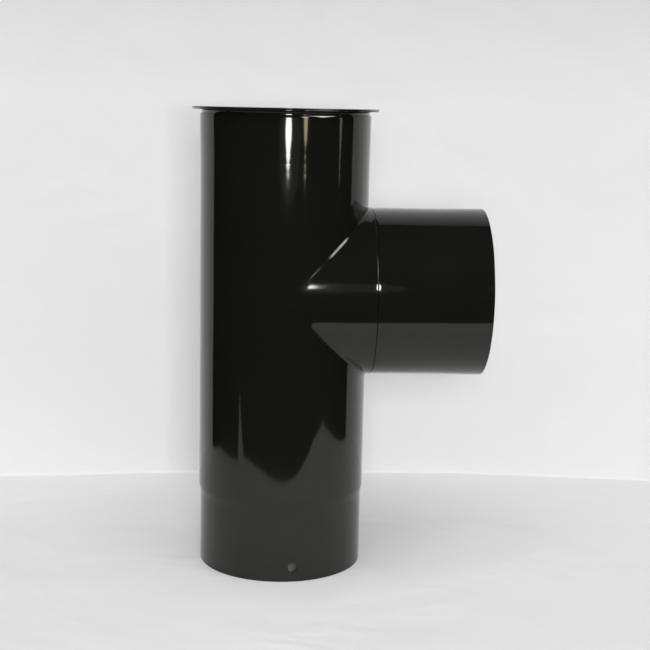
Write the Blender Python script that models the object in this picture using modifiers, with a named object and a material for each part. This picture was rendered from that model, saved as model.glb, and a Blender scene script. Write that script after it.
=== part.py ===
"""Enamelled stove pipe tee: an upright run, a level branch of the same bore, and a push-in cap.

Metres, +Z up along the run, +X out along the branch. The origin is on the floor, under the middle
of the whole part. Run with: blender --background --python part.py
"""

import math

import bmesh
import bpy
from mathutils import Matrix, Vector

# Sheet and tube
PIPE_OD = 0.150            # outside diameter of run and branch
WALL = 0.0012              # sheet thickness of the pipes
RIM_ROUND = 0.00025        # rounding of the cut rims
FIT = 0.0003               # gap between pieces that touch

# Run
SPIGOT_LENGTH = 0.064      # foot rim to the start of the shoulder
SHOULDER_HEIGHT = 0.006    # rise of the shoulder between spigot and body
SPIGOT_PLAY = 0.00015      # gap all round a spigot in the next pipe's bore
BRANCH_HEIGHT = 0.249      # foot rim to the branch's axis
MOUTH_RISE = 0.1565        # branch's axis to the run's mouth rim

# Mouths of run and branch, widened to take a spigot
SOCKET_DEPTH = 0.040       # how far in from the rim the widening starts
SOCKET_FLARE = 0.0005      # how much the rim is widened, on the radius

# Branch
BRANCH_LENGTH = 0.0999     # length of the branch's own tube
COLLAR_LIP = 0.0034        # how far the drawn collar stands out past the run's wall
SADDLE_FILLET = 0.0024     # leg of the rounded crease between run and collar
SEAM_ROUND = 0.0008        # rounding of the two edges that meet at the branch's weld

# Hanging hole near the foot
HOLE_DIAMETER = 0.0085
HOLE_HEIGHT = 0.013        # foot rim to the hole's centre
HOLE_ANGLE = -82.7         # degrees round the run, from the branch's side

# Cap
CAP_OVERHANG = 0.0074      # how far the plate stands out past the run's mouth
CAP_SHEET = 0.0010         # sheet thickness of plate and collar
CAP_STAND_OFF = 0.0033     # gap left between the mouth rim and the collar's flange
CAP_REACH = 0.032          # how far the collar goes down into the mouth
CAP_LEAD = 0.0006          # gap all round the collar's narrow lower end in the run's plain bore
CAP_INSET = 0.0006         # how far the flange stays inside the plate's edge
CAP_BEND = 0.0012          # radius under the flange, where the sheet bends down

# Steps in a pipe's full circle, in the hole's, and in a right-angled bend
CIRCLE_STEPS = 72
HOLE_STEPS = 24
BEND_STEPS = 3

# Sizes that follow
PIPE_R = PIPE_OD / 2
BORE_R = PIPE_R - WALL
SPIGOT_R = BORE_R - SPIGOT_PLAY
MOUTH_R = PIPE_R + SOCKET_FLARE
RUN_HEIGHT = BRANCH_HEIGHT + MOUTH_RISE
COLLAR_REACH = PIPE_R + COLLAR_LIP
BRANCH_START = COLLAR_REACH + FIT
BRANCH_REACH = BRANCH_START + BRANCH_LENGTH
CREASE = min(SADDLE_FILLET, 0.95 * (COLLAR_LIP - SEAM_ROUND))
CAP_R = MOUTH_R + CAP_OVERHANG
CAP_NECK_R = MOUTH_R - WALL - FIT
CAP_TIP_R = BORE_R - CAP_LEAD
FLANGE_TOP = CAP_STAND_OFF + CAP_SHEET
RUN_X = (CAP_R - BRANCH_REACH) / 2
PAST = 3 * WALL            # how far a cutter runs past what it cuts
MERGE = 0.000002           # corners nearer than this are one
ON_TUBE = 0.00001          # a corner nearer than this to a tube's surface lies on it
FAINT_BEND = math.radians(10)

ENAMEL_BLACK = (0.0075, 0.0075, 0.0078, 1.0)
SHARP_ANGLE = math.radians(35)


def clear_scene():
    """Removes whatever the file holds."""
    for thing in list(bpy.data.objects):
        bpy.data.objects.remove(thing, do_unlink=True)


def new_collection(name):
    """Adds a collection to the scene."""
    collection = bpy.data.collections.new(name)
    bpy.context.scene.collection.children.link(collection)
    return collection


def enamel(name):
    """Gloss black enamel on steel."""
    material = bpy.data.materials.new(name)
    material.use_nodes = True
    shader = material.node_tree.nodes["Principled BSDF"]
    shader.inputs["Base Color"].default_value = ENAMEL_BLACK
    shader.inputs["Roughness"].default_value = 0.08
    shader.inputs["Metallic"].default_value = 0.0
    return material


def bend_steps(sweep):
    """Steps for an arc: one for the faintest bend, and at most BEND_STEPS."""
    return min(BEND_STEPS, math.ceil(sweep / FAINT_BEND))


def rounded(corners):
    """Profile points from corners of (radius, height, leg), where an arc cuts the corner's two sides
    at the distance leg from it."""
    points = []
    for index, (radius, height, leg) in enumerate(corners):
        corner = Vector((radius, height))
        if leg == 0:
            points.append(corner)
            continue
        before = Vector(corners[index - 1][:2]) - corner
        after = Vector(corners[(index + 1) % len(corners)][:2]) - corner
        before.normalize()
        after.normalize()
        half = before.angle(after) / 2
        middle = corner + (before + after).normalized() * leg / math.cos(half)
        start = corner + before * leg - middle
        sweep = start.angle_signed(corner + after * leg - middle)
        steps = 1 if leg <= RIM_ROUND else bend_steps(abs(sweep))
        for step in range(steps + 1):
            turn = Matrix.Rotation(-sweep * step / steps, 2)
            points.append(middle + turn @ start)
    return points


def turned(name, collection, points, ring=False, steps=CIRCLE_STEPS):
    """Object turned round its own Z from a profile that runs down its outer side. A ring's profile
    closes on itself, and any other starts and ends on the axis."""
    mesh = bpy.data.meshes.new(name)
    edges = [(index, index + 1) for index in range(len(points) - 1)]
    if ring:
        edges.append((len(points) - 1, 0))
    mesh.from_pydata([(radius, 0.0, height) for radius, height in points], edges, [])
    piece = bpy.data.objects.new(name, mesh)
    collection.objects.link(piece)
    screw = piece.modifiers.new("turn", "SCREW")
    screw.axis = "Z"
    screw.angle = math.tau
    screw.steps = steps
    screw.render_steps = steps
    screw.use_merge_vertices = True
    screw.merge_threshold = MERGE
    screw.use_smooth_shade = True
    return piece


def solid_turned(name, collection, corners, steps=CIRCLE_STEPS):
    """Turned solid, filled to its axis."""
    top = (0.0, corners[0][1], 0)
    bottom = (0.0, corners[-1][1], 0)
    return turned(name, collection, rounded([top] + corners + [bottom]), steps=steps)


def lay_along_branch(piece):
    """Turns a piece's own Z towards +X, on the branch's axis."""
    piece.location = (RUN_X, 0.0, BRANCH_HEIGHT)
    piece.rotation_euler = (0.0, math.pi / 2, 0.0)


def apply_modifiers(piece):
    """Replaces a piece's mesh by what its modifiers make of it, with doubled corners merged."""
    bpy.context.view_layer.update()
    evaluated = piece.evaluated_get(bpy.context.evaluated_depsgraph_get())
    mesh = bpy.data.meshes.new_from_object(evaluated)
    piece.modifiers.clear()
    piece.data = mesh
    shape = bmesh.new()
    shape.from_mesh(mesh)
    bmesh.ops.remove_doubles(shape, verts=shape.verts, dist=MERGE)
    bmesh.ops.dissolve_degenerate(shape, edges=shape.edges, dist=MERGE)
    shape.to_mesh(mesh)
    shape.free()


def combine(piece, operation, other):
    """Joins another object to a piece, or cuts it out of it, and keeps the other as a guide."""
    other.hide_render = True
    other.display_type = "WIRE"
    boolean = piece.modifiers.new(other.name, "BOOLEAN")
    boolean.operation = operation
    boolean.solver = "EXACT"
    boolean.object = other
    apply_modifiers(piece)


def finish(piece):
    """Gives a piece its own enamel, and shades it smooth between its sharp edges."""
    apply_modifiers(piece)
    piece.data.name = piece.name
    piece.data.materials.clear()
    piece.data.materials.append(enamel(piece.name + "_enamel"))
    piece.data.shade_smooth()
    piece.data.set_sharp_from_angle(angle=SHARP_ANGLE)


def mouth_outline(rim, inset, leg):
    """Corners of a widened mouth from its rim down to the plain pipe, set in from the outer wall."""
    return [
        (MOUTH_R - inset, rim, leg),
        (MOUTH_R - inset, rim - SOCKET_DEPTH / 3, SOCKET_DEPTH / 5),
        (PIPE_R - inset, rim - SOCKET_DEPTH, SOCKET_DEPTH / 5),
    ]


def foot_outline(inset, leg):
    """Corners of the shoulder and spigot down to the foot rim, set in from the outer wall."""
    return [
        (PIPE_R - inset, SPIGOT_LENGTH + SHOULDER_HEIGHT, SHOULDER_HEIGHT / 2.5),
        (SPIGOT_R - inset, SPIGOT_LENGTH, SHOULDER_HEIGHT / 2.5),
        (SPIGOT_R - inset, 0.0, leg),
    ]


def flared_end(outline, outwards):
    """The outline's rim corner replaced by a 45 degree flare that runs out past the rim, so that a
    bore cut with it gets a broken inner edge."""
    radius, height, _ = outline
    return [
        (radius + RIM_ROUND + PAST, height + outwards * PAST, 0),
        (radius, height - outwards * RIM_ROUND, 0),
    ]


def round_crease(piece, radius, leg):
    """Rounds the crease where two tubes of one radius cross. Its corners lie on both of them."""
    shape = bmesh.new()
    shape.from_mesh(piece.data)
    on_both = set()
    for corner in shape.verts:
        from_run_axis = math.hypot(corner.co.x, corner.co.y)
        from_branch_axis = math.hypot(corner.co.y, corner.co.z - BRANCH_HEIGHT)
        if max(abs(from_run_axis - radius), abs(from_branch_axis - radius)) < ON_TUBE:
            on_both.add(corner)
    crease = [
        edge for edge in shape.edges
        if on_both.issuperset(edge.verts) and edge.calc_face_angle() > FAINT_BEND
    ]
    bmesh.ops.bevel(
        shape, geom=crease, offset=leg, offset_type="OFFSET", segments=BEND_STEPS,
        profile=0.5, affect="EDGES", clamp_overlap=False, material=-1,
    )
    shape.to_mesh(piece.data)
    shape.free()


def build_run(parts, cutters):
    """The straight run, with its spigot, its widened mouth and the collar drawn out for the branch."""
    outline = mouth_outline(RUN_HEIGHT, 0.0, RIM_ROUND) + foot_outline(0.0, RIM_ROUND)
    run = solid_turned("run_pipe", parts, outline)
    run.location = (RUN_X, 0.0, 0.0)

    collar = solid_turned("collar_outside", cutters, [
        (PIPE_R, COLLAR_REACH, SEAM_ROUND),
        (PIPE_R, 0.0, 0),
    ])
    lay_along_branch(collar)
    combine(run, "UNION", collar)
    round_crease(run, PIPE_R, CREASE)

    inside = mouth_outline(RUN_HEIGHT, WALL, 0) + foot_outline(WALL, 0)
    bore = solid_turned(
        "bore", cutters, flared_end(inside[0], 1) + inside[1:-1] + flared_end(inside[-1], -1)[::-1])
    bore.location = run.location
    collar_bore = solid_turned("collar_bore", cutters, [
        (BORE_R, COLLAR_REACH + PAST, 0),
        (BORE_R, 0.0, 0),
    ])
    lay_along_branch(collar_bore)
    combine(bore, "UNION", collar_bore)
    round_crease(bore, BORE_R, CREASE + WALL)
    combine(run, "DIFFERENCE", bore)

    hole = solid_turned("hanging_hole", cutters, [
        (HOLE_DIAMETER / 2, SPIGOT_R + PAST, 0),
        (HOLE_DIAMETER / 2, SPIGOT_R - WALL - PAST, 0),
    ], steps=HOLE_STEPS)
    hole.location = (RUN_X, 0.0, HOLE_HEIGHT)
    hole.rotation_euler = (0.0, math.pi / 2, math.radians(HOLE_ANGLE))
    combine(run, "DIFFERENCE", hole)
    return run


def build_branch(parts):
    """The branch's own tube, from its weld on the collar to its widened mouth."""
    outside = mouth_outline(BRANCH_REACH, 0.0, RIM_ROUND)
    inside = mouth_outline(BRANCH_REACH, WALL, RIM_ROUND)
    branch = turned("branch_pipe", parts, rounded(
        outside + [(PIPE_R, BRANCH_START, SEAM_ROUND), (BORE_R, BRANCH_START, 0)] + inside[::-1]),
        ring=True)
    lay_along_branch(branch)
    return branch


def build_cap(parts):
    """The cap: a plate welded on the flange of a collar that narrows downwards, on an empty at the
    mouth's centre, which is where it lifts from."""
    seat = bpy.data.objects.new("cap_seat", None)
    parts.objects.link(seat)
    seat.location = (RUN_X, 0.0, RUN_HEIGHT)

    plate_bottom = FLANGE_TOP + FIT
    plate = solid_turned("cap_plate", parts, [
        (CAP_R, plate_bottom + CAP_SHEET, 0.45 * CAP_SHEET),
        (CAP_R, plate_bottom, 0.45 * CAP_SHEET),
    ])

    flange_r = CAP_R - CAP_INSET
    collar = turned("cap_collar", parts, rounded([
        (flange_r, FLANGE_TOP, RIM_ROUND),
        (flange_r, CAP_STAND_OFF, RIM_ROUND),
        (CAP_NECK_R, CAP_STAND_OFF, CAP_BEND),
        (CAP_TIP_R, -CAP_REACH, RIM_ROUND),
        (CAP_TIP_R - CAP_SHEET, -CAP_REACH, RIM_ROUND),
        (CAP_NECK_R - CAP_SHEET, FLANGE_TOP, CAP_BEND + CAP_SHEET),
    ]), ring=True)
    plate.parent = seat
    collar.parent = seat
    return plate, collar


def main():
    clear_scene()
    parts = new_collection("stove_pipe_tee")
    cutters = new_collection("cutters")
    run = build_run(parts, cutters)
    branch = build_branch(parts)
    plate, collar = build_cap(parts)
    for piece in (run, branch, plate, collar):
        finish(piece)


main()
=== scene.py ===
"""The looks of the enamelled stove pipe tee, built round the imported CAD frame."""

import math

import bmesh
import bpy
from mathutils import Matrix, Quaternion, Vector


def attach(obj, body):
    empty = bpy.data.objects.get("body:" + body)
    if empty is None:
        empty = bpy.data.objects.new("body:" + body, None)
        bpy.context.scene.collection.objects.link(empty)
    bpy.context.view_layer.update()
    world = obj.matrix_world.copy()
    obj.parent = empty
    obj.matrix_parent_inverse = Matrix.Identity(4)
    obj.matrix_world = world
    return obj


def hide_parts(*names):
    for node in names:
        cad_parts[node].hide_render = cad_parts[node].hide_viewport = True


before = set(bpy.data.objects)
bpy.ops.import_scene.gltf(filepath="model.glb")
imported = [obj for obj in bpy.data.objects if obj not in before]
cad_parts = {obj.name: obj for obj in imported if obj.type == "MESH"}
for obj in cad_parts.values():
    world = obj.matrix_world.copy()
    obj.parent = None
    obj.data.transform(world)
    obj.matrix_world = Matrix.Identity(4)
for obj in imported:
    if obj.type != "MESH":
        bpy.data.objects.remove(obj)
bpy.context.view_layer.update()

MM = 0.001

# The run and its mouths, as in the CAD
PIPE_R = 75.0 * MM
WALL = 1.2 * MM
SPIGOT_R = 73.65 * MM
MOUTH_R = 75.5 * MM
SOCKET_DEPTH = 40.0 * MM
SOCKET_STRAIGHT = SOCKET_DEPTH / 3
SOCKET_BEND = SOCKET_DEPTH / 5
SPIGOT_LENGTH = 64.0 * MM
SHOULDER_HEIGHT = 6.0 * MM
SHOULDER_BEND = SHOULDER_HEIGHT / 2.5
BRANCH_HEIGHT = 249.0 * MM
RUN_HEIGHT = 405.5 * MM
RUN_X = -47.85 * MM
RIM_ROUND = 0.45 * MM
RIM_CURL = 2.4 * MM            # the run's mouth curls in over this height

# The collar drawn out of the run, and the branch welded on it
COLLAR_REACH = 78.4 * MM
BRANCH_START = 78.7 * MM
BRANCH_REACH = 178.6 * MM
CREASE_R = 2.4 * MM            # outside radius of the crease between run and collar
WEB = 0.7 * MM                 # run and collar flow into each other where they lie nearer than this
WEB_MORE = 1.4 * MM            # how much is added to that round the widest part of the crease
WEB_WIDEST = 62.0 * MM         # distance of that part from the middle plane
WEB_SPREAD = 7.0 * MM
LIP_ALONG = 0.5 * MM           # how far back from the weld its rounded lips start
LIP_DEEP = 0.5 * MM            # how deep they go
LIP_INSIDE = 0.2 * MM          # rounding of their inner edges
LIP_JOIN = 0.85 * WALL         # the run's two skins meet this deep on the collar's end
LIP_RISE = 0.34 * MM           # how far the collar's lip stands up at the weld
LIP_FADE = 2.1 * MM            # length over which that fades away
END_PULL = 0.48 * MM           # how far the weld has drawn the branch's end in
END_FADE = 3.2 * MM            # length over which that fades away
WELD_OUT = 100.0 * MM          # the weld moves nothing further than this from the branch's axis

# Hanging hole
HOLE_R = 4.25 * MM
HOLE_HEIGHT = 13.0 * MM
HOLE_ANGLE = math.radians(-82.7)
HOLE_ROUND = 0.3 * MM          # rounding of its rims

# Cap
CAP_SHEET = 1.0 * MM
CAP_R = 82.9 * MM
PLATE_BOTTOM = RUN_HEIGHT + 4.6 * MM
CAP_DISH = 0.35 * MM           # how far the plate's middle lies below its edge
DISH_R = 0.80 * CAP_R          # the plate rises from this radius
DISH_END_R = 0.93 * CAP_R      # to this one
DISH_EASE = 20.0 * MM          # it starts to bend up this far inside
DISH_BEND = 4.0 * MM           # and its other bends are this long
FLANGE_R = 82.3 * MM
FLANGE_BOTTOM = RUN_HEIGHT + 3.3 * MM
FLANGE_TOP = FLANGE_BOTTOM + CAP_SHEET
FLANGE_BEND = 2.8 * MM         # bend between collar and flange
CAP_EDGE = 0.4 * MM            # rounding of the flange's edge and the collar's tip
CAP_NECK_R = 74.0 * MM
CAP_TIP_R = 73.2 * MM
CAP_TIP = RUN_HEIGHT - 32.0 * MM

# The grids of the meshes. A pair of numbers is the first and the last row of a stretch, counted from
# where that stretch starts.
AROUND = 180                   # steps round a pipe
ARC_STEP = math.radians(9)     # an arc turns at most this much at a point
ROW = 4.0 * MM                 # rows along a pipe
FINE_ROW = 2.0 * MM            # rows along the collar
SEAM_ROW = 0.5 * MM            # rows beside the weld
SEAM_START = 0.61 * MM         # the first one lies this far from the lip, clear of the crease's corners
HOLE_PATCH = 4                 # cells of the spigot from the hole's middle to the edge of its patch
HOLE_STEPS = 4                 # steps from the edge of that patch to the hole
SPIGOT_ROWS = (1, 8)           # from the top of that patch
RUN_ROWS = (-43, 37)           # from the branch's axis
CROSSING_ROWS = (-9, 8)        # halfway between those of the run
COLLAR_ROWS = (1, 35)          # from the run's axis
COLLAR_SEAM_ROWS = (0, 10)     # from the collar's lip, inwards
BRANCH_SEAM_ROWS = (1, 19)     # from the branch's lip, outwards
BRANCH_ROWS = (4, 24)          # from the branch's start
CAP_ROWS = (1, 7)              # from the tip of the cap's collar
CREASE_STEPS = 10              # steps across the crease
SAME = 0.5e-6                  # corners nearer than this are one
ON_PLANE = SAME / 5            # corners nearer than this to a cut lie on it

UPRIGHT = Matrix.Translation((RUN_X, 0, 0))
SIDEWAYS = Matrix.Translation((RUN_X, 0, BRANCH_HEIGHT)) @ Matrix.Rotation(math.pi / 2, 4, "Y")


# Profiles

def rounded(corners):
    """Profile points from corners of (radius, height, leg before, leg after): an arc joins the point
    at the first leg before the corner to the point at the second leg after it. One leg stands for
    both, and a corner with none stays sharp."""
    points = []
    for index, (radius, height, *legs) in enumerate(corners):
        corner = Vector((radius, height))
        if not legs:
            points.append(corner)
            continue
        before = (Vector(corners[index - 1][:2]) - corner).normalized() * legs[0]
        after = (Vector(corners[(index + 1) % len(corners)][:2]) - corner).normalized() * legs[-1]
        steps = max(2, math.ceil((math.pi - before.angle(after)) / ARC_STEP))
        for step in range(steps + 1):
            turn = math.pi / 2 * step / steps
            points.append(corner + before * (1 - math.sin(turn)) + after * (1 - math.cos(turn)))
    return points


def spaced(start, spacing, steps):
    """Evenly spaced places, from the first to the last of the steps, counted from the start."""
    first, last = steps
    return [start + step * spacing for step in range(first, last + 1)]


def with_rows(points, heights):
    """The profile with a point added wherever it passes one of the heights."""
    rows = [points[0]]
    for start, end in zip(points, points[1:]):
        low, high = sorted((start.y, end.y))
        between = [h for h in heights if low + SAME < h < high - SAME]
        for height in sorted(between, reverse=start.y > end.y):
            rows.append(start.lerp(end, (height - start.y) / (end.y - start.y)))
        rows.append(end)
    return rows


def ring_section(corners, heights=()):
    """A closed profile: its last point meets its first."""
    points = rounded(corners)
    return with_rows(points + points[:1], heights)


def spun(points, place):
    """A profile of (radius, height) turned round Z and put in place, with its poles closed."""
    shape = bmesh.new()
    chain = [shape.verts.new((radius, 0, height)) for radius, height in points]
    edges = [shape.edges.new(pair) for pair in zip(chain, chain[1:])]
    bmesh.ops.spin(
        shape, geom=chain + edges, cent=(0, 0, 0), axis=(0, 0, 1), dvec=(0, 0, 0),
        angle=math.tau, steps=AROUND, use_merge=True, use_duplicate=False)
    bmesh.ops.remove_doubles(shape, verts=shape.verts, dist=SAME)
    shape.transform(place)
    return shape


def added(shape, other):
    """Adds another bmesh's geometry to the first."""
    carrier = bpy.data.meshes.new("carrier")
    other.to_mesh(carrier)
    other.free()
    shape.from_mesh(carrier)
    bpy.data.meshes.remove(carrier)
    return shape


def bridged(shape, loops, steps):
    """Bridges two loops of edges with faces, cut into steps from one to the other. Gives the corners
    that this makes between them."""
    strip = bmesh.ops.bridge_loops(shape, edges=loops)
    across = {e for face in strip["faces"] for e in face.edges}.difference(loops)
    rungs = [e for e in shape.edges if e in across]
    made = bmesh.ops.subdivide_edges(shape, edges=rungs, cuts=steps - 1, use_grid_fill=True)
    return {v for v in made["geom_inner"] if isinstance(v, bmesh.types.BMVert)}


# The run with its drawn collar

def from_crossing(point):
    """Distance out along the branch and height over its axis."""
    return point.x - RUN_X, point.z - BRANCH_HEIGHT


def cut_along(shape, faces, normal):
    """Cuts the faces where the plane through the crossing of the two axes meets them."""
    geom = set(faces)
    for face in faces:
        geom.update(face.edges, face.verts)
    bmesh.ops.bisect_plane(
        shape, geom=list(geom), dist=ON_PLANE, plane_co=(RUN_X, 0, BRANCH_HEIGHT), plane_no=normal)


def crossed_skin(radius, crease, run_points, collar_points):
    """One skin of the run with the collar's skin of the same radius grown out of it. Where they
    cross, a ball of the crease's radius rolled along both leaves the rounded crease."""
    slope = (radius + crease) / radius
    run = spun(run_points, UPRIGHT)
    collar = spun(collar_points, SIDEWAYS)
    for sign in (1, -1):
        cut_along(run, [f for f in run.faces if f.calc_center_median().x > RUN_X], (slope, 0, sign))
        cut_along(collar, collar.faces[:], (1, 0, slope * sign))
    for shape, is_wedge in (
        (run, lambda along, above: abs(above) < slope * along),
        (collar, lambda along, above: along < slope * abs(above)),
    ):
        wedge = [f for f in shape.faces if is_wedge(*from_crossing(f.calc_center_median()))]
        bmesh.ops.delete(shape, geom=wedge, context="FACES")
    skin = added(run, collar)

    def on_cut(vert):
        along, above = from_crossing(vert.co)
        above = abs(above)
        return min(abs(above - slope * along), abs(along - slope * above)) < SAME
    cuts = [e for e in skin.edges if e.is_boundary and on_cut(e.verts[0]) and on_cut(e.verts[1])]
    for vert in bridged(skin, cuts, CREASE_STEPS):
        lay_on_ball(vert, radius, crease)
    fill_web(skin, radius)
    bmesh.ops.remove_doubles(skin, verts=skin.verts, dist=SAME)
    bmesh.ops.dissolve_degenerate(skin, edges=skin.edges, dist=ON_PLANE)
    return skin


def lay_on_ball(vert, radius, crease):
    """Moves a corner of the crease to where the rolled ball touches it. Its way across the crease is
    read from how far out along the branch it lies."""
    along, above = from_crossing(vert.co)
    sine = max(-1.0, min(1.0, vert.co.y / radius))
    cosine = math.sqrt(1 - sine * sine)
    if cosine < 1e-4:          # at the sides run and collar touch, and the crease has no width
        return
    share = (along / cosine - radius) / crease
    side = math.copysign(1, above)
    centre = Vector((cosine, sine, side * cosine)) * (radius + crease)
    to_run = Vector((-cosine, -sine, 0))
    to_collar = Vector((0, -sine, -side * cosine))
    whole = to_run.angle(to_collar)
    way = to_run * math.sin((1 - share) * whole) + to_collar * math.sin(share * whole)
    vert.co = centre + way / math.sin(whole) * crease + Vector((RUN_X, 0, BRANCH_HEIGHT))


def fill_web(skin, radius):
    """Raises the sheet beside the crease, as a smooth union of run and collar. They lie nearly level
    at the sides of the run, so the crease fades away there instead of ending in a point."""
    for vert in skin.verts:
        along, above = from_crossing(vert.co)
        off_run = math.hypot(along, vert.co.y) - radius
        off_collar = math.hypot(above, vert.co.y) - radius
        web = WEB + WEB_MORE * math.exp(-((abs(vert.co.y) - WEB_WIDEST) / WEB_SPREAD) ** 2)
        near = 1 - abs(off_run - off_collar) / web
        if along < 0 or near <= 0:
            continue
        from_run = Vector((along, vert.co.y, 0)).normalized()
        from_collar = Vector((0, vert.co.y, above)).normalized()
        closer, other = (from_run, from_collar) if off_run < off_collar else (from_collar, from_run)
        vert.co += closer.lerp(other, near / 2).normalized() * (web * near * near / 4)


def cut_hole(skin, radius):
    """Cuts the hanging hole in the spigot's skin: a patch of its grid is taken out and bridged to a
    circle that lies on the skin."""
    cell = math.tau / AROUND
    middle = round(HOLE_ANGLE / cell) * cell
    half = HOLE_PATCH * cell

    def in_patch(face):
        spot = face.calc_center_median()
        turn = math.atan2(spot.y, spot.x - RUN_X) - middle
        return abs(turn) < half and abs(spot.z - HOLE_HEIGHT) < half * SPIGOT_R
    patch = {f for f in skin.faces if in_patch(f)}
    rim = [e for e in skin.edges if sum(f in patch for f in e.link_faces) == 1]
    bmesh.ops.delete(skin, geom=list(patch), context="FACES")
    made = bmesh.ops.create_circle(
        skin, segments=len(rim), radius=HOLE_R, cap_ends=False,
        matrix=Matrix.Rotation(math.pi / 2, 4, "Y"))
    circle = set(made["verts"])
    ring = [e for e in skin.edges if circle.issuperset(e.verts)]
    place = Matrix.Translation((RUN_X, 0, HOLE_HEIGHT)) @ Matrix.Rotation(HOLE_ANGLE, 4, "Z")
    for vert in circle:
        reach = math.sqrt(radius ** 2 - vert.co.y ** 2)
        vert.co = place @ Vector((reach, vert.co.y, vert.co.z))
    for vert in bridged(skin, rim + ring, HOLE_STEPS):
        flat = Vector((vert.co.x - RUN_X, vert.co.y)).normalized() * radius
        vert.co.x, vert.co.y = flat.x + RUN_X, flat.y


def weld_shift(along):
    """How far the weld has moved the sheet outwards, at a distance along the branch."""
    gap = along - (COLLAR_REACH + BRANCH_START) / 2
    if gap < 0:
        return LIP_RISE * math.exp(gap / LIP_FADE)
    return -END_PULL * math.exp(-gap / END_FADE)


def shift_at_weld(shape):
    """Raises the collar's lip or draws in the branch's end beside the weld. Further out than the
    branch's own mouth the shift fades away."""
    for vert in shape.verts:
        along, above = from_crossing(vert.co)
        reach = math.hypot(vert.co.y, above)
        near = min(1.0, (WELD_OUT - reach) / (WELD_OUT - MOUTH_R))
        if along > PIPE_R / 2 and near > 0:
            share = 1 + weld_shift(along) * near / PIPE_R
            vert.co.y *= share
            vert.co.z = BRANCH_HEIGHT + above * share


def build_run():
    """The run: an outer and an inner skin, joined at its rims, at the collar's lip and in the hole."""
    heights = spaced(HOLE_HEIGHT, math.tau / AROUND * SPIGOT_R, (-HOLE_PATCH, HOLE_PATCH))
    heights += spaced(heights[-1], ROW, SPIGOT_ROWS)
    heights += spaced(BRANCH_HEIGHT, ROW, RUN_ROWS)
    heights += spaced(BRANCH_HEIGHT + ROW / 2, ROW, CROSSING_ROWS)
    along = spaced(0.0, FINE_ROW, COLLAR_ROWS)
    along += spaced(COLLAR_REACH - LIP_ALONG - SEAM_START, -SEAM_ROW, COLLAR_SEAM_ROWS)

    shape = None
    for inset in (0.0, WALL):
        run_points = with_rows(rounded([
            (MOUTH_R - WALL / 2, RUN_HEIGHT),
            (MOUTH_R - inset, RUN_HEIGHT, RIM_ROUND, RIM_ROUND if inset else RIM_CURL),
            (MOUTH_R - inset, RUN_HEIGHT - SOCKET_STRAIGHT, SOCKET_BEND),
            (PIPE_R - inset, RUN_HEIGHT - SOCKET_DEPTH, SOCKET_BEND),
            (PIPE_R - inset, SPIGOT_LENGTH + SHOULDER_HEIGHT, SHOULDER_BEND),
            (SPIGOT_R - inset, SPIGOT_LENGTH, SHOULDER_BEND),
            (SPIGOT_R - inset, 0.0, RIM_ROUND),
            (SPIGOT_R - WALL / 2, 0.0),
        ]), heights)
        lip_legs = [LIP_INSIDE] if inset else [LIP_ALONG, LIP_DEEP]
        collar_points = with_rows(rounded([
            (PIPE_R - inset, 0.0),
            (PIPE_R - inset, COLLAR_REACH, *lip_legs),
            (PIPE_R - LIP_JOIN, COLLAR_REACH),
        ]), along)
        skin = crossed_skin(PIPE_R - inset, CREASE_R + inset, run_points, collar_points)
        cut_hole(skin, SPIGOT_R - inset)
        shape = added(skin, shape) if shape else skin
    bmesh.ops.remove_doubles(shape, verts=shape.verts, dist=SAME)
    hole_rims = [e for e in shape.edges if e.is_boundary]
    bmesh.ops.bridge_loops(shape, edges=hole_rims)
    bmesh.ops.recalc_face_normals(shape, faces=shape.faces)
    bmesh.ops.bevel(
        shape, geom=hole_rims, offset=HOLE_ROUND, offset_type="OFFSET", segments=3, profile=0.5,
        affect="EDGES", clamp_overlap=True, material=-1)
    shift_at_weld(shape)
    return shape


# Branch and cap

def build_branch():
    """The branch's own tube, from the lip at its weld to its widened mouth."""
    outside = [
        (PIPE_R, BRANCH_START, LIP_DEEP, LIP_ALONG),
        (PIPE_R, BRANCH_REACH - SOCKET_DEPTH, SOCKET_BEND),
        (MOUTH_R, BRANCH_REACH - SOCKET_STRAIGHT, SOCKET_BEND),
        (MOUTH_R, BRANCH_REACH, RIM_ROUND),
    ]
    inside = [
        (MOUTH_R - WALL, BRANCH_REACH, RIM_ROUND),
        (MOUTH_R - WALL, BRANCH_REACH - SOCKET_STRAIGHT, SOCKET_BEND),
        (PIPE_R - WALL, BRANCH_REACH - SOCKET_DEPTH, SOCKET_BEND),
        (PIPE_R - WALL, BRANCH_START, LIP_INSIDE),
    ]
    heights = spaced(BRANCH_START + LIP_ALONG, SEAM_ROW, BRANCH_SEAM_ROWS)
    heights += spaced(BRANCH_START, ROW, BRANCH_ROWS)
    shape = spun(ring_section(outside + inside, heights), SIDEWAYS)
    bmesh.ops.recalc_face_normals(shape, faces=shape.faces)
    shift_at_weld(shape)
    return shape


def build_plate():
    """The cap's cover plate, with a rounded edge and a faint dish."""
    top = PLATE_BOTTOM + CAP_SHEET
    shape = spun(rounded([
        (0.0, top - CAP_DISH),
        (DISH_R, top - CAP_DISH, DISH_EASE, DISH_BEND),
        (DISH_END_R, top, DISH_BEND),
        (CAP_R, top, RIM_ROUND),
        (CAP_R, PLATE_BOTTOM, RIM_ROUND),
        (DISH_END_R, PLATE_BOTTOM, DISH_BEND),
        (DISH_R, PLATE_BOTTOM - CAP_DISH, DISH_BEND, DISH_EASE),
        (0.0, PLATE_BOTTOM - CAP_DISH),
    ]), UPRIGHT)
    bmesh.ops.recalc_face_normals(shape, faces=shape.faces)
    return shape


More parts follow.
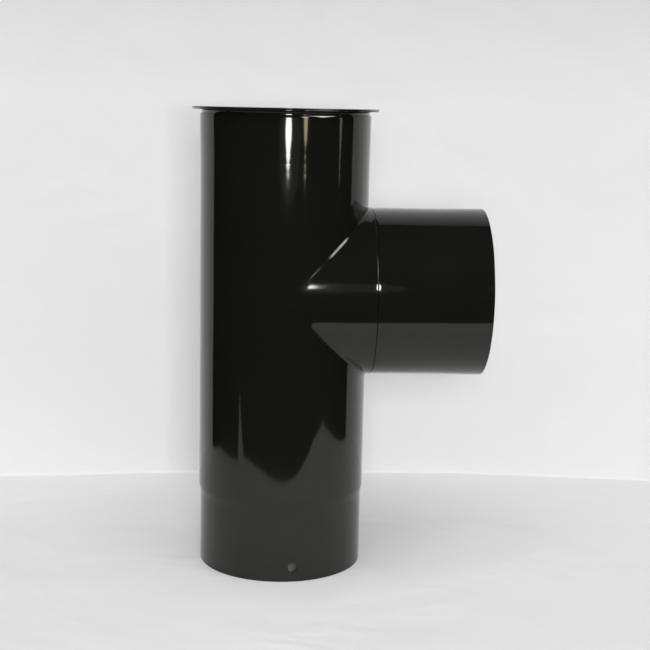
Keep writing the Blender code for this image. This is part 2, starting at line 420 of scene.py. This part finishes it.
def build_cap_collar():
    """The cap's collar, which narrows downwards under its flange."""
    shape = spun(ring_section([
        (FLANGE_R, FLANGE_TOP, CAP_EDGE),
        (FLANGE_R, FLANGE_BOTTOM, CAP_EDGE),
        (CAP_NECK_R, FLANGE_BOTTOM, FLANGE_BEND),
        (CAP_TIP_R, CAP_TIP, CAP_EDGE),
        (CAP_TIP_R - CAP_SHEET, CAP_TIP, CAP_EDGE),
        (CAP_NECK_R - CAP_SHEET, FLANGE_TOP, FLANGE_BEND + CAP_SHEET),
    ], spaced(CAP_TIP, ROW, CAP_ROWS)), UPRIGHT)
    bmesh.ops.recalc_face_normals(shape, faces=shape.faces)
    return shape


# Materials

def linear(hex_colour):
    """An sRGB hex colour as linear RGBA."""
    parts = [int(hex_colour[i:i + 2], 16) / 255 for i in (1, 3, 5)]
    return tuple(c / 12.92 if c <= 0.04045 else ((c + 0.055) / 1.055) ** 2.4 for c in parts) + (1.0,)


def add_node(tree, kind, inputs=None, **settings):
    """Adds a node, with its settings and its inputs: a value, or the socket that feeds it."""
    node = tree.nodes.new(kind)
    for name, value in settings.items():
        setattr(node, name, value)
    for name, value in (inputs or {}).items():
        if isinstance(value, bpy.types.NodeSocket):
            tree.links.new(value, node.inputs[name])
        else:
            node.inputs[name].default_value = value
    return node


def bare_material(name):
    """A material with no nodes yet, and its node tree."""
    material = bpy.data.materials.new(name)
    material.use_nodes = True
    material.node_tree.nodes.clear()
    return material, material.node_tree


def gloss_enamel():
    """Black vitreous enamel, a glass fused on steel at red heat: a deep black under a mirror-smooth
    glass face, which keeps a faint orange peel and slow waves, and is not equally glossy all over."""
    material, tree = bare_material("gloss_vitreous_enamel")
    place = add_node(tree, "ShaderNodeTexCoord").outputs["Object"]
    peel = add_node(tree, "ShaderNodeTexNoise", {"Vector": place, "Scale": 1 / (5 * MM), "Detail": 1.0})
    sag = add_node(tree, "ShaderNodeTexNoise", {"Vector": place, "Scale": 1 / (60 * MM), "Detail": 1.0})
    clouds = add_node(tree, "ShaderNodeTexNoise", {"Vector": place, "Scale": 1 / (45 * MM), "Detail": 3.0})
    gloss = add_node(tree, "ShaderNodeMapRange", {
        "Value": clouds.outputs["Fac"], "From Min": 0.3, "From Max": 0.7, "To Min": 0.045, "To Max": 0.085})
    tint = add_node(tree, "ShaderNodeMix", {
        "Factor": clouds.outputs["Fac"], "A": linear("#121211"), "B": linear("#151513")}, data_type="RGBA")
    wave = add_node(tree, "ShaderNodeBump", {
        "Height": sag.outputs["Fac"], "Distance": 0.12 * MM, "Strength": 1.0})
    skin = add_node(tree, "ShaderNodeBump", {
        "Height": peel.outputs["Fac"], "Distance": 0.004 * MM, "Strength": 1.0,
        "Normal": wave.outputs["Normal"]})
    shader = add_node(tree, "ShaderNodeBsdfPrincipled", {
        "Base Color": tint.outputs["Result"], "Roughness": gloss.outputs["Result"],
        "Normal": skin.outputs["Normal"], "IOR": 1.475, "Specular Tint": linear("#fdfdf4")})
    add_node(tree, "ShaderNodeOutputMaterial", {"Surface": shader.outputs["BSDF"]})
    return material


def placed(name, shape, material):
    """Makes a bmesh an object with one material and even shading."""
    mesh = bpy.data.meshes.new(name)
    shape.to_mesh(mesh)
    shape.free()
    mesh.materials.append(material)
    mesh.shade_smooth()
    thing = bpy.data.objects.new(name, mesh)
    bpy.context.scene.collection.objects.link(thing)
    thing.modifiers.new("even_shading", "WEIGHTED_NORMAL")
    return thing


def piece(name, shape, material, body, node):
    """Makes a bmesh a piece of the part, in place of a CAD node."""
    thing = placed(name, shape, material)
    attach(thing, body)
    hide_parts(node)


enamel = gloss_enamel()
piece("enamelled_run", build_run(), enamel, "tee", "run_pipe")
piece("enamelled_branch", build_branch(), enamel, "tee", "branch_pipe")
piece("enamelled_cap_plate", build_plate(), enamel, "cap", "cap_plate")
piece("enamelled_cap_collar", build_cap_collar(), enamel, "cap", "cap_collar")


# Stage

# The cloth's outline on the floor, from the run's axis: its free edge in front and at the sides, then
# the foot of the part that hangs behind
FREE_EDGE = [
    (-0.483, -0.007), (-0.445, -0.12), (-0.385, -0.235), (-0.72, -0.43), (-0.36, -0.30),
    (-0.305, -0.345), (-0.18, -0.384), (0.01, -0.381), (0.13, -0.386), (0.235, -0.403),
    (0.355, -0.427), (0.52, -0.385), (0.526, -0.246), (0.515, -0.10)]
BACK_LINE = [
    (0.52, 0.03), (0.50, 0.14), (0.43, 0.24), (0.20, 0.27), (-0.10, 0.27), (-0.33, 0.25), (-0.42, 0.20),
    (-0.45, 0.122)]
BACK_HEIGHT = 1.12
PAINTED_SHADE_START = 0.42              # painted shade darkens the hanging part from here to its top
COVE = 0.02                    # rounding of its upright folds
FOOT = 0.003                   # rounding at its foot
FLOOR_R = 1.1
FLOOR_FADE = 0.55              # the floor fades into the background from here to its edge
FLOOR_DROP = 1.0 * MM          # how far it lies below the cloth
SCREEN_R = 3.0                 # distance of the dark screens round the front
SCREEN_TOP = 3.0
SCREEN_END = 1.5               # they end this far behind the run


def cotton_sheet(name, fades_outwards=False):
    """White cotton with a few soft folds, and painted shade darkening the top of the hanging part. It is
    clear from its back, so that the object shows from every side, and may also turn clear away from it."""
    material, tree = bare_material(name)
    place = add_node(tree, "ShaderNodeTexCoord").outputs["Object"]
    folds = add_node(tree, "ShaderNodeTexNoise", {
        "Vector": place, "Scale": 1 / (120 * MM), "Detail": 2.0, "Distortion": 0.8})
    bump = add_node(tree, "ShaderNodeBump", {
        "Height": folds.outputs["Fac"], "Distance": 5 * MM, "Strength": 1.0})
    height = add_node(tree, "ShaderNodeSeparateXYZ", {"Vector": place}).outputs["Z"]
    fade = add_node(tree, "ShaderNodeMapRange", {
        "Value": height, "From Min": PAINTED_SHADE_START, "From Max": BACK_HEIGHT})
    # the grey mixed in towards the top of the hanging part is painted shade
    tone_with_painted_shade = add_node(tree, "ShaderNodeMix", {
        "Factor": fade.outputs["Result"], "A": linear("#e4e4e4"), "B": linear("#7c7c7c")}, data_type="RGBA")
    shader = add_node(tree, "ShaderNodeBsdfPrincipled", {
        "Base Color": tone_with_painted_shade.outputs["Result"], "Roughness": 0.9, "Specular IOR Level": 0.2,
        "Normal": bump.outputs["Normal"]})
    gone = add_node(tree, "ShaderNodeNewGeometry").outputs["Backfacing"]
    if fades_outwards:
        reach = add_node(tree, "ShaderNodeVectorMath", {0: place}, operation="LENGTH").outputs["Value"]
        outer = add_node(tree, "ShaderNodeMapRange", {
            "Value": reach, "From Min": FLOOR_FADE, "From Max": FLOOR_R + RUN_X},
            interpolation_type="SMOOTHSTEP")
        gone = add_node(tree, "ShaderNodeMath", {
            0: gone, 1: outer.outputs["Result"]}, operation="MAXIMUM").outputs["Value"]
    clear = add_node(tree, "ShaderNodeBsdfTransparent")
    sides = add_node(tree, "ShaderNodeMixShader", {
        "Fac": gone, 1: shader.outputs["BSDF"], 2: clear.outputs["BSDF"]})
    add_node(tree, "ShaderNodeOutputMaterial", {"Surface": sides.outputs["Shader"]})
    return material


def black_velvet():
    """Black cotton velvet, which gives back almost no light."""
    material, tree = bare_material("black_velvet")
    shader = add_node(tree, "ShaderNodeBsdfPrincipled", {
        "Base Color": linear("#050505"), "Roughness": 1.0, "Specular IOR Level": 0.0})
    add_node(tree, "ShaderNodeOutputMaterial", {"Surface": shader.outputs["BSDF"]})
    return material


def build_cloth():
    """A pale cloth that lies under the part and hangs behind it, with its faces towards the part."""
    shape = bmesh.new()
    front = [shape.verts.new((x + RUN_X, y, 0)) for x, y in FREE_EDGE]
    back = [shape.verts.new((x + RUN_X, y, 0)) for x, y in BACK_LINE]
    shape.faces.new(front + back)
    edges = [shape.edges.get(pair) for pair in zip(back, back[1:])]
    hanging = bmesh.ops.extrude_edge_only(shape, edges=edges)
    lifted = [v for v in hanging["geom"] if isinstance(v, bmesh.types.BMVert)]
    bmesh.ops.translate(shape, verts=lifted, vec=(0, 0, BACK_HEIGHT))
    upright = [e for v in back[1:-1] for e in v.link_edges if e.other_vert(v).co.z > COVE]
    bmesh.ops.bevel(
        shape, geom=upright, offset=COVE, offset_type="OFFSET", segments=8, profile=0.5,
        affect="EDGES", clamp_overlap=True, material=-1)

    def at_foot(edge):
        on_floor = max(v.co.z for v in edge.verts) < SAME
        return on_floor and max(v.co.z for f in edge.link_faces for v in f.verts) > FOOT
    foot = [e for e in shape.edges if len(e.link_faces) == 2 and at_foot(e)]
    bmesh.ops.bevel(
        shape, geom=foot, offset=FOOT, offset_type="OFFSET", segments=4, profile=0.5,
        affect="EDGES", clamp_overlap=False, material=-1)
    bmesh.ops.recalc_face_normals(shape, faces=shape.faces)
    if max(shape.faces, key=bmesh.types.BMFace.calc_area).normal.dot(Vector((0, -1, 1))) < 0:
        bmesh.ops.reverse_faces(shape, faces=shape.faces)
    return shape


def build_floor():
    """The plain floor that goes on round the cloth."""
    shape = bmesh.new()
    bmesh.ops.create_circle(
        shape, cap_ends=True, segments=AROUND, radius=FLOOR_R,
        matrix=Matrix.Translation((RUN_X, 0, -FLOOR_DROP)))
    return shape


def build_screens():
    """Dark screens round the front and overhead, which show in the enamel alone."""
    shape = bmesh.new()
    bmesh.ops.create_cone(
        shape, cap_ends=True, segments=AROUND, radius1=SCREEN_R, radius2=SCREEN_R, depth=2 * SCREEN_TOP)
    bmesh.ops.bisect_plane(
        shape, geom=shape.verts[:] + shape.edges[:] + shape.faces[:], dist=SAME,
        plane_co=(0, SCREEN_END, 0), plane_no=(0, 1, 0), clear_outer=True)
    shape.transform(UPRIGHT)
    return shape


cloth = placed("cotton_sheet", build_cloth(), cotton_sheet("cotton_sheet"))
floor = placed("plain_floor", build_floor(), cotton_sheet("cotton_floor", fades_outwards=True))
floor.visible_glossy = False
floor.visible_diffuse = False
screens = placed("dark_screens", build_screens(), black_velvet())
screens.visible_camera = False
screens.visible_shadow = False


# Camera

CAMERA_SPOT = Vector((-0.084385, -1.156674, 0.414878))
CAMERA_PAN = math.radians(-3.701)
CAMERA_TILT = math.radians(9.686)
CAMERA_ROLL = math.radians(1.164)
CAMERA_LENS = 71.66
CAMERA_SENSOR = 36


def photo_camera():
    """The photograph's camera, fitted to the pipe's outlines."""
    ahead = Vector((
        -math.sin(CAMERA_PAN) * math.cos(CAMERA_TILT), math.cos(CAMERA_PAN) * math.cos(CAMERA_TILT),
        -math.sin(CAMERA_TILT)))
    level = Vector((math.cos(CAMERA_PAN), math.sin(CAMERA_PAN), 0))
    above = level.cross(ahead)
    right = level * math.cos(CAMERA_ROLL) + above * math.sin(CAMERA_ROLL)
    up = above * math.cos(CAMERA_ROLL) - level * math.sin(CAMERA_ROLL)
    data = bpy.data.cameras.new("camera")
    data.sensor_width = CAMERA_SENSOR
    data.lens = CAMERA_LENS
    thing = bpy.data.objects.new("camera", data)
    bpy.context.scene.collection.objects.link(thing)
    thing.matrix_world = Matrix.Translation(CAMERA_SPOT) @ Matrix(
        (right, up, -ahead)).transposed().to_4x4()
    bpy.context.scene.camera = thing


photo_camera()
bpy.context.scene.view_settings.view_transform = "Standard"


# Light

FRONT = Vector((RUN_X, -PIPE_R, 0.0))
AIM_HEIGHT = 0.25
MIDDLE = FRONT + Vector((0, 0, AIM_HEIGHT))
FLASH_ASIDE = Vector((0.14, 0, 0))       # from the camera to the flash


def out_from(azimuth, distance, height, rise=0.0):
    """A spot at a distance in front of the run's foremost line: the azimuth turns from -Y to +X, and
    the rise is an elevation."""
    azimuth, rise = math.radians(azimuth), math.radians(rise)
    way = Vector((
        math.sin(azimuth) * math.cos(rise), -math.cos(azimuth) * math.cos(rise), math.sin(rise)))
    return FRONT + Vector((0, 0, height)) + way * distance


def lamp(name, spot, aim, width, tall, energy, colour="#ffffff", shape="RECTANGLE",
         glossy=True, diffuse=True, roll=0.0):
    """A soft lamp turned to its aim, which the camera doesn't see."""
    data = bpy.data.lights.new(name, "AREA")
    data.shape = shape
    data.size, data.size_y = width, tall
    data.energy = energy
    data.color = linear(colour)[:3]
    thing = bpy.data.objects.new(name, data)
    bpy.context.scene.collection.objects.link(thing)
    thing.location = spot
    thing.rotation_mode = "QUATERNION"
    thing.rotation_quaternion = (spot - aim).to_track_quat("Z", "Y") @ Quaternion(
        (0, 0, 1), math.radians(roll))
    thing.visible_camera = False
    thing.visible_glossy = glossy
    thing.visible_diffuse = diffuse


def reflected_lamp(name, azimuth, distance, height, width, tall, energy, rise=0.0, **looks):
    """A lamp that shows as a reflection in the enamel and lights nothing else."""
    spot = out_from(azimuth, distance, height, rise)
    lamp(name, spot, FRONT + Vector((0, 0, height)), width, tall, energy, diffuse=False, **looks)


def pale_world():
    """A pale background where the camera looks past the stage, and where gloss and glass show it. It
    gives almost no light."""
    world = bpy.data.worlds.new("pale_background")
    bpy.context.scene.world = world
    world.use_nodes = True
    tree = world.node_tree
    tree.nodes.clear()
    path = add_node(tree, "ShaderNodeLightPath").outputs
    seen = add_node(tree, "ShaderNodeMath", {
        0: path["Is Camera Ray"], 1: path["Is Glossy Ray"]}, operation="MAXIMUM")
    seen = add_node(tree, "ShaderNodeMath", {
        0: seen.outputs["Value"], 1: path["Is Transmission Ray"]}, operation="MAXIMUM")
    pale = add_node(tree, "ShaderNodeBackground", {"Color": linear("#e6e6e6"), "Strength": 1.0})
    dark = add_node(tree, "ShaderNodeBackground", {"Color": linear("#050505"), "Strength": 1.0})
    mixed = add_node(tree, "ShaderNodeMixShader", {
        "Fac": seen.outputs["Value"], 1: dark.outputs["Background"], 2: pale.outputs["Background"]})
    add_node(tree, "ShaderNodeOutputWorld", {"Surface": mixed.outputs["Shader"]})


lamp("ceiling_softbox", out_from(2, 1.8, AIM_HEIGHT, 66), MIDDLE, 4.0, 2.0, 45, glossy=False)
lamp("front_fill", out_from(-1, 1.9, AIM_HEIGHT, 10), MIDDLE, 0.4, 0.5, 21.0, glossy=False)
lamp("flash", CAMERA_SPOT + FLASH_ASIDE, MIDDLE, 0.05, 0.05, 2.0, glossy=False)

# Each with its azimuth, distance, height, width, own height and energy
reflected_lamp("near_lamp", 1.9, 0.5, 0.3725, 0.073, 0.087, 0.46, shape="ELLIPSE")
reflected_lamp("near_glow", 4.0, 0.5, 0.36, 0.27, 0.13, 0.015, shape="ELLIPSE")
reflected_lamp("cream_strip", 25.0, 1.6, 0.40, 0.14, 0.27, 0.9, shape="ELLIPSE", colour="#e8d9c0")
reflected_lamp("far_strip", 77.0, 1.6, 0.42, 0.10, 0.32, 0.14, shape="ELLIPSE")
reflected_lamp("window", 50.0, 1.6, 0.28, 0.80, 0.86, 36, rise=29.0, roll=38.0)
reflected_lamp("small_window", 24.0, 1.6, 0.27, 0.26, 0.32, 1.8, rise=11.5, shape="ELLIPSE")
pale_world()
